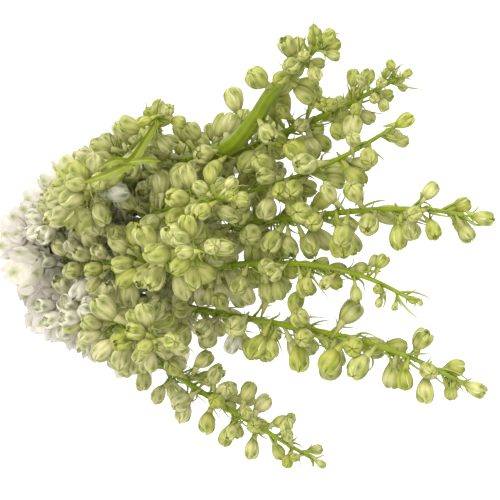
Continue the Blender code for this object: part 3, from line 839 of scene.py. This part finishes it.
def bumped(tree, shader, scale, distance):
    """A fine bump on a shader."""
    bump = tree.nodes.new("ShaderNodeBump")
    bump.inputs["Strength"].default_value = 0.35
    bump.inputs["Distance"].default_value = distance
    tree.links.new(noise(tree, scale, 3).outputs["Fac"], bump.inputs["Height"])
    tree.links.new(bump.outputs["Normal"], shader.inputs["Normal"])


def new_material(name, roughness, specular):
    """A material with its node tree and Principled shader."""
    made = bpy.data.materials.new(name)
    made.use_nodes = True
    shader = made.node_tree.nodes["Principled BSDF"]
    shader.inputs["Roughness"].default_value = roughness
    shader.inputs["Specular IOR Level"].default_value = specular
    return made, made.node_tree, shader


def green_material():
    made, tree, shader = new_material("stem_green", 0.45, 0.35)
    tinted(tree, shader, 160, 0.86, 1.1)
    bumped(tree, shader, 700, 0.0002)
    return made


def petal_material():
    """Thin sepals that let some light through."""
    made, tree, shader = new_material("sepal", 0.5, 0.3)
    colour = tinted(tree, shader, 260, 0.92, 1.07)
    bumped(tree, shader, 900, 0.00015)
    through = tree.nodes.new("ShaderNodeBsdfTranslucent")
    tree.links.new(colour.outputs["Vector"], through.inputs["Color"])
    mix = tree.nodes.new("ShaderNodeMixShader")
    mix.inputs["Fac"].default_value = 0.35
    tree.links.new(shader.outputs["BSDF"], mix.inputs[1])
    tree.links.new(through.outputs["BSDF"], mix.inputs[2])
    tree.links.new(mix.outputs["Shader"], tree.nodes["Material Output"].inputs["Surface"])
    return made


def glaze_material():
    """Celadon glaze: mottled by slow changes of tone, with fine dark specks under a glossy surface."""
    made, tree, shader = new_material("celadon_glaze", 0.18, 0.5)
    shader.inputs["Coat Weight"].default_value = 0.4
    shader.inputs["Coat Roughness"].default_value = 0.06
    colour = tinted(tree, shader, 26, 0.9, 1.08)
    specks = tree.nodes.new("ShaderNodeMapRange")
    specks.inputs["From Min"].default_value = 0.66
    specks.inputs["From Max"].default_value = 0.72
    specks.inputs["To Min"].default_value = 1
    specks.inputs["To Max"].default_value = 0.55
    speckled = tree.nodes.new("ShaderNodeVectorMath")
    speckled.operation = "SCALE"
    tree.links.new(noise(tree, 420, 2).outputs["Fac"], specks.inputs["Value"])
    tree.links.new(colour.outputs["Vector"], speckled.inputs[0])
    tree.links.new(specks.outputs["Result"], speckled.inputs["Scale"])
    tree.links.new(speckled.outputs["Vector"], shader.inputs["Base Color"])
    bumped(tree, shader, 90, 0.0003)
    return made


def water_material():
    made, tree, shader = new_material("clear_water", 0.03, 0.5)
    shader.inputs["Transmission Weight"].default_value = 1
    shader.inputs["IOR"].default_value = 1.33
    tint = tree.nodes.new("ShaderNodeValToRGB")
    tint.color_ramp.elements[0].color = (*srgb((222, 232, 222)), 1)
    tint.color_ramp.elements[1].color = (*srgb((236, 242, 236)), 1)
    tree.links.new(noise(tree, 40, 2).outputs["Fac"], tint.inputs["Fac"])
    tree.links.new(tint.outputs["Color"], shader.inputs["Base Color"])
    return made


def build_vase():
    """The vase as a fine turned shell with faint throwing rings."""
    turn = np.linspace(0, math.tau, 128, endpoint=False)
    rim = WALL / 2
    middle = MOUTH_RADIUS - rim
    outline = [(FOOT_RADIUS * 0.6, 0.0), (FOOT_RADIUS - FOOT_CHAMFER, 0.0)]
    outline += [(FOOT_RADIUS - FOOT_CHAMFER * (1 - math.sin(a)), FOOT_CHAMFER * (1 - math.cos(a)))
                for a in np.linspace(0.3, math.pi / 2, 4)]
    for height in np.linspace(0.03, 0.97, 60):
        z = FOOT_CHAMFER + (VASE_HEIGHT - rim - FOOT_CHAMFER) * height
        ring = 0.00012 * math.sin(height * 150) * math.sin(math.pi * height)
        outline.append((FOOT_RADIUS + (MOUTH_RADIUS - FOOT_RADIUS) * z / VASE_HEIGHT + ring, z))
    outline += [(middle + rim * math.cos(a), VASE_HEIGHT - rim + rim * math.sin(a))
                for a in np.linspace(0, math.pi, 13)]
    floor_edge = FOOT_RADIUS + (MOUTH_RADIUS - FOOT_RADIUS) * FLOOR_THICKNESS / VASE_HEIGHT - WALL
    outline += [(floor_edge, FLOOR_THICKNESS + WALL)]
    outline += [(floor_edge - WALL * (1 - math.cos(a)), FLOOR_THICKNESS + WALL * (1 - math.sin(a)))
                for a in np.linspace(0.3, math.pi / 2, 5)]
    outline += [(floor_edge * 0.5, FLOOR_THICKNESS)]
    profile = np.array(outline)
    points = np.stack((profile[:, :1] * np.cos(turn), profile[:, :1] * np.sin(turn),
                       np.repeat(profile[:, 1:], len(turn), 1)), axis=-1)
    height = profile[:, 1:]
    tints = mixed(srgb(GLAZE), srgb(GLAZE_PALE), eased(height, 0.2 * VASE_HEIGHT, VASE_HEIGHT))
    tints = mixed(tints, srgb(GLAZE_THIN), eased(height, VASE_HEIGHT - 2.5 * MM, VASE_HEIGHT - 0.4 * MM))
    tints = mixed(srgb(CLAY), tints, eased(height, 3.5 * MM, 4.5 * MM))
    shape = Shape()
    ids = shape.sheet(points, tints, 0, closed=True)[:, :-1]
    shape.cap((0, 0, 0), ids[0][::-1], srgb(CLAY), 0)
    shape.cap((0, 0, FLOOR_THICKNESS), ids[-1], srgb(GLAZE), 0)
    thing = shape.finished("glazed_vase", [glaze_material()])
    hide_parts("vase")


def drawn_in(floret):
    """A floret whose stalk is shortened until it lies within the outline, or else a small bud."""
    margin = floret.size * (OPEN_MARGIN if floret.opened else BUD_MARGIN)
    for pull in PULLS:
        neck = floret.root + (floret.neck - floret.root) * pull
        if within(neck + floret.axis * floret.size * 0.5, margin):
            return floret._replace(neck=neck)
    return floret._replace(neck=neck, size=min(LARGEST_BUD, floret.size) * 0.7, opened=False)


def build_spike(name, spike, florets, materials, seed):
    """One spike in detail, in place of its solid."""
    rng = random.Random(seed)
    shape = Shape()
    add_stem(shape, spike)
    growth = GROWTH.get(name, USUAL_GROWTH)
    for floret in map(drawn_in, florets):
        if not floret.opened:
            floret = floret._replace(size=floret.size * (1 + growth * eased(floret.rise, 0.3, 0.8)))
        line = add_stalk(shape, floret, floret.direction, PEDICEL_RADIUS * (0.7 + 0.5 * (1 - floret.rise)))
        add_bracts(shape, floret, line, rng)
        ruffled = marked(floret, RUFFLED_MARKS)
        if floret.opened or ruffled:
            add_flower(shape, floret, rng, ruffled)
        else:
            add_bud(shape, floret, rng)
    if name == LEAF_SPIKE:
        for course, half_widths in LEAF_BLADES:
            add_blade(shape, course, half_widths)
    thing = shape.finished(name + "_fine", materials)
    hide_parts(name)
    return sum(len(part) for part in shape.quads) * 2 + sum(len(part) for part in shape.fans)


def build_stage():
    """A plain pale floor."""
    mesh = bpy.data.meshes.new("floor")
    half = 6.0
    mesh.from_pydata([(-half, -half, 0), (half, -half, 0), (half, half, 0), (-half, half, 0)], [], [(0, 1, 2, 3)])
    floor = bpy.data.objects.new("floor", mesh)
    bpy.context.scene.collection.objects.link(floor)
    made, _, shader = new_material("floor_white", 0.9, 0.1)
    shader.inputs["Base Color"].default_value = (0.9, 0.9, 0.9, 1)
    shader.inputs["Emission Color"].default_value = (1, 1, 1, 1)
    shader.inputs["Emission Strength"].default_value = FLOOR_GLOW
    mesh.materials.append(made)


def area_light(name, place, aim, size, power):
    """A soft square lamp aimed at a point."""
    lamp = bpy.data.lights.new(name, "AREA")
    lamp.size = size
    lamp.energy = power
    thing = bpy.data.objects.new(name, lamp)
    thing.location = place
    thing.rotation_mode = "QUATERNION"
    thing.rotation_quaternion = (Vector(aim) - Vector(place)).to_track_quat("-Z", "Y")
    bpy.context.scene.collection.objects.link(thing)


FLOOR_GLOW = 0.26
SKY = 1.08
KEY_POWER = 19
FILL_POWER = 8

def build_light():
    world = bpy.data.worlds.new("sky")
    world.use_nodes = True
    world.node_tree.nodes["Background"].inputs["Color"].default_value = (1, 1, 1, 1)
    world.node_tree.nodes["Background"].inputs["Strength"].default_value = SKY
    bpy.context.scene.world = world
    area_light("key", (-0.9, -0.6, 1.7), (0, 0, 0.35), 0.9, KEY_POWER)
    area_light("fill", (0.3, -0.9, 1.5), (0, 0, 0.35), 0.8, FILL_POWER)
    bpy.context.scene.view_settings.view_transform = "Standard"


def build_camera():
    lens = bpy.data.cameras.new("camera")
    lens.sensor_width = SENSOR
    lens.lens = SENSOR * FOCAL_PIXELS / PICTURE
    lens.clip_start = 0.01
    camera = bpy.data.objects.new("camera", lens)
    camera.matrix_world = Matrix.Translation(EYE) @ Matrix((RIGHT, -DOWN, -FORWARD)).transposed().to_4x4()
    bpy.context.scene.collection.objects.link(camera)
    bpy.context.scene.camera = camera


build_camera()
build_stage()
build_light()
build_vase()
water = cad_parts["water"]
water.data.materials.clear()
water.data.materials.append(water_material())
plant = [green_material(), petal_material()]
counts = []
for seed, (name, spike, florets) in enumerate(zip(SPIKES, SPIKES.values(), lay_out())):
    counts.append(build_spike(name, spike, florets, plant, 50 + seed))
print("triangles", counts, sum(counts))
